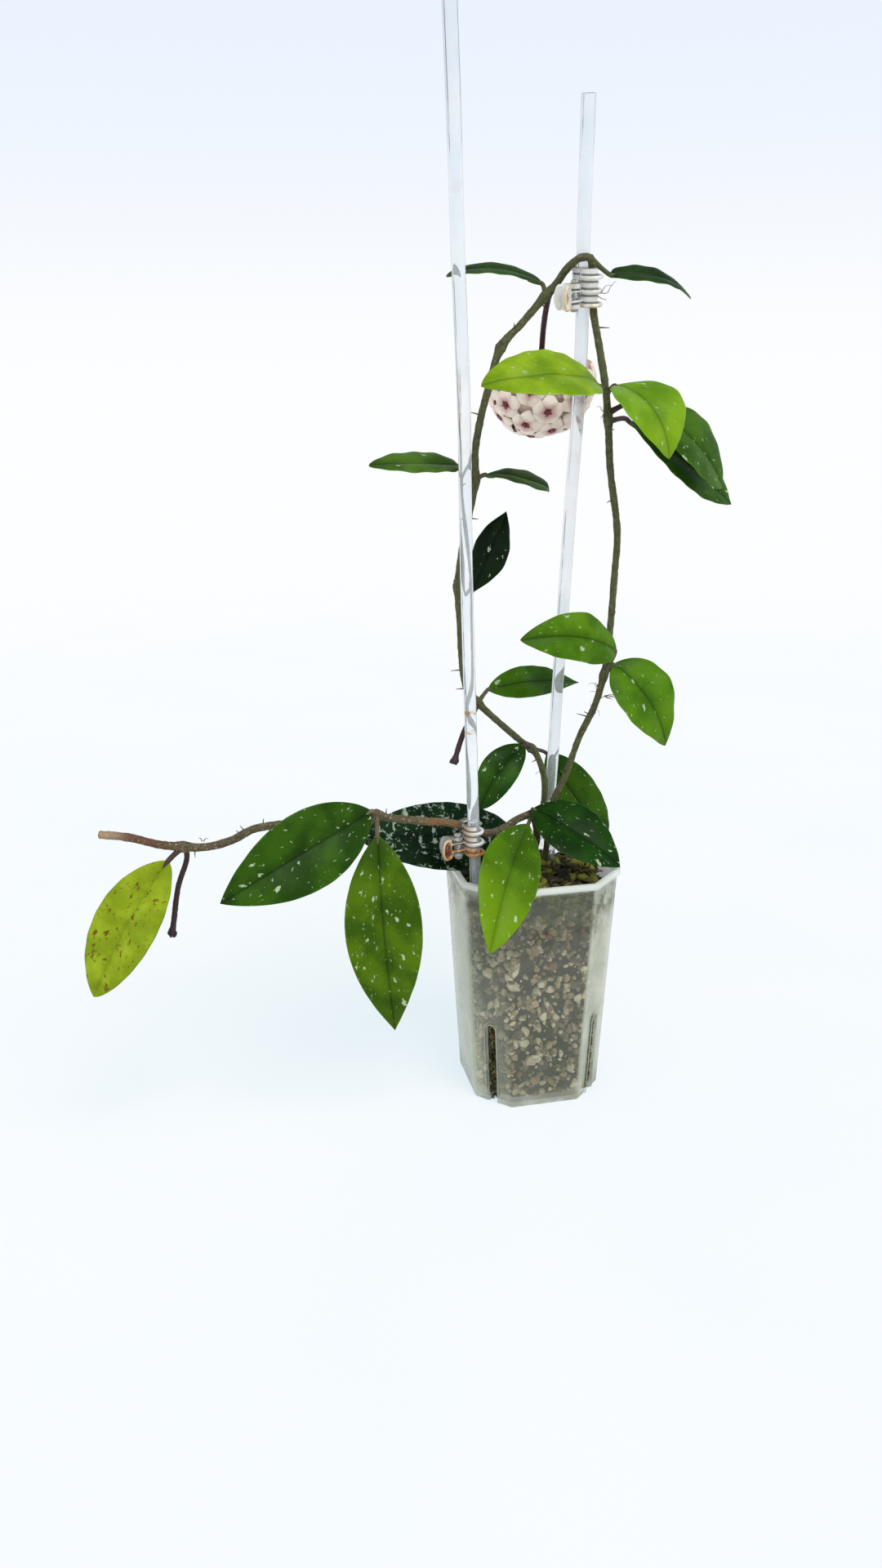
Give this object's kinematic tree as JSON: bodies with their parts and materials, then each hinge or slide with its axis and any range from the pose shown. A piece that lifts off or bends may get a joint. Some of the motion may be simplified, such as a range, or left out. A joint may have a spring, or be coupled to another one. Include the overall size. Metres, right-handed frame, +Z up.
{
  "type": "potted hoya plant",
  "caption": "Climbing hoya in a clear slotted square pot: twining stems, broad pointed leaves and a hanging flower umbel, held to clear rods by small hinged clips.",
  "frame": {"origin": "middle of the pot's underside", "axes": "+Z up, square to the pot's underside; the pot's main faces look along X and Y, and the side shoot reaches out along -X"},
  "size_m": [0.283, 0.1019, 0.4408],
  "materials": {
    "clear_pot": "clear, a little frosted",
    "clear_rod": "clear, polished",
    "chips": "rough, moist",
    "moss": "soft, tufted",
    "stem": "matt, finely hairy",
    "flower_stalk": "matt",
    "leaf_green": "waxy, flecked with silver",
    "leaf_lime": "waxy",
    "leaf_yellow": "waxy, with brown spots",
    "petal": "velvety",
    "clear_clip": "clear, glossy",
    "amber_clip": "clear amber, glossy",
    "spring_steel": "drawn wire"
  },
  "bodies": {
    "plant": {"pot": "clear_pot", "chips": "chips", "moss": "moss", "rod_front": "clear_rod", "rod_rear": "clear_rod", "vine_loop": "stem", "vine_branch": "stem", "umbel": "petal", "leaf_yellow": "leaf_yellow", "leaf_branch_broad": "leaf_green", "leaf_branch_hanging": "leaf_green", "leaf_splashed": "leaf_green", "leaf_front_bright": "leaf_green", "leaf_right_dark": "leaf_green", "leaf_rear": "leaf_green", "leaf_low_left": "leaf_green", "leaf_long_left": "leaf_green", "leaf_waved": "leaf_green", "leaf_side_right": "leaf_green", "leaf_lime_left": "leaf_lime", "leaf_lime_right": "leaf_lime", "leaf_outer_right": "leaf_green", "leaf_outer_under": "leaf_green", "leaf_top_left": "leaf_green", "leaf_top_right": "leaf_green", "leaf_thin_left": "leaf_green", "leaf_thin_right": "leaf_green", "leaf_upright_dark": "leaf_green", "peduncle_branch": "flower_stalk", "peduncle_loop": "flower_stalk", "peduncle_umbel": "flower_stalk", "clip_lower_jaw_rear": "clear_clip", "clip_lower_pin": "clear_clip", "clip_lower_spring": "spring_steel", "clip_upper_jaw_rear": "clear_clip", "clip_upper_pin": "clear_clip", "clip_upper_spring": "spring_steel"},
    "clip_lower_front": {"clip_lower_jaw_front": "amber_clip"},
    "clip_upper_front": {"clip_upper_jaw_front": "clear_clip"}
  },
  "joints": [
    {"name": "clip_lower_hinge", "type": "hinge", "parent": "plant", "child": "clip_lower_front", "pos_m": [-0.03749, -0.01589, 0.12568], "axis": [0.0451, 0.0386, -0.9982], "range_deg": [0, 30], "stiffness_Nm_per_rad": 0.01, "springref_deg": -20.05},
    {"name": "clip_upper_hinge", "type": "hinge", "parent": "plant", "child": "clip_upper_front", "pos_m": [0.00736, -0.02565, 0.34953], "axis": [0.0784, 0.2196, -0.9724], "range_deg": [0, 30], "stiffness_Nm_per_rad": 0.01, "springref_deg": -20.05}
  ]
}
